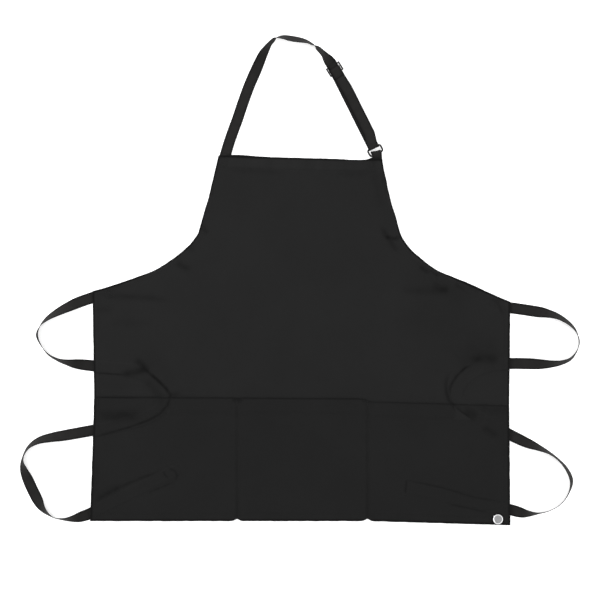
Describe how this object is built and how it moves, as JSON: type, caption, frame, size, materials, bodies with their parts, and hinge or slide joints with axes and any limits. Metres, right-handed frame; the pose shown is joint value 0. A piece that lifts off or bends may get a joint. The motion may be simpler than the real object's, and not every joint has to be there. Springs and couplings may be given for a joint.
{
  "type": "bib apron",
  "caption": "Black bib apron for studio work, laid flat: adjustable neck strap with slider and ring, divided pouch pocket along the hem and webbing waist ties.",
  "frame": {"origin": "centre of the box round the cloth and the neck strap, at the surface it lies on", "axes": "+X across the skirt to the wearer's left, +Y from the skirt's hem up to the neck, +Z out of the cloth's face"},
  "size_m": [0.953, 0.8351, 0.019],
  "materials": {
    "cloth": "matte",
    "hem": "matte",
    "thread": "satin",
    "webbing": "satin",
    "plastic": "gloss",
    "badge": "satin"
  },
  "bodies": {
    "apron": {"body_panel": "cloth", "top_hem": "hem", "armhole_hem_left": "hem", "armhole_hem_right": "hem", "side_hem_left": "hem", "side_hem_right": "hem", "bottom_hem": "hem", "pocket_panel": "cloth", "pocket_mouth_hem": "hem", "neck_strap_root": "webbing", "ring_tab": "webbing", "tie_root_left": "webbing", "tie_root_right": "webbing", "badge_front": "badge", "badge_back": "badge", "top_hem_stitching": "thread", "armhole_stitching": "thread", "side_stitching": "thread", "bottom_stitching": "thread", "pocket_mouth_stitching": "thread", "divider_stitching": "thread", "pocket_bartacks": "thread", "root_stitching": "thread"},
    "neck_loop": {"neck_strap": "webbing", "neck_strap_return": "webbing", "neck_strap_ring_fold": "webbing", "ring": "plastic", "ring_tab_loop": "webbing"},
    "slider": {"slider": "plastic", "slider_strap_loop": "webbing", "slider_stitching": "thread"},
    "tie_left": {"tie_left": "webbing", "tie_left_end": "webbing"},
    "tie_right": {"tie_right": "webbing", "tie_right_end": "webbing"}
  },
  "joints": [
    {"name": "neck_fold", "type": "hinge", "parent": "apron", "child": "neck_loop", "pos_m": [0.0015, 0.2116, 0.0048], "axis": [0.9997, -0.0233, 0], "range_deg": [0, 150]},
    {"name": "slider_slide", "type": "slide", "parent": "neck_loop", "child": "slider", "axis": [0.4478, -0.8942, 0], "range_m": [0, 0.105], "deforming": ["neck_strap_return"]},
    {"name": "tie_left_swing", "type": "hinge", "parent": "apron", "child": "tie_left", "pos_m": [-0.347, -0.027, 0], "axis": [0, 0, -1], "range_deg": [0, 60]},
    {"name": "tie_right_swing", "type": "hinge", "parent": "apron", "child": "tie_right", "pos_m": [0.35, -0.046, 0], "axis": [0, 0, 1], "range_deg": [0, 60]}
  ]
}
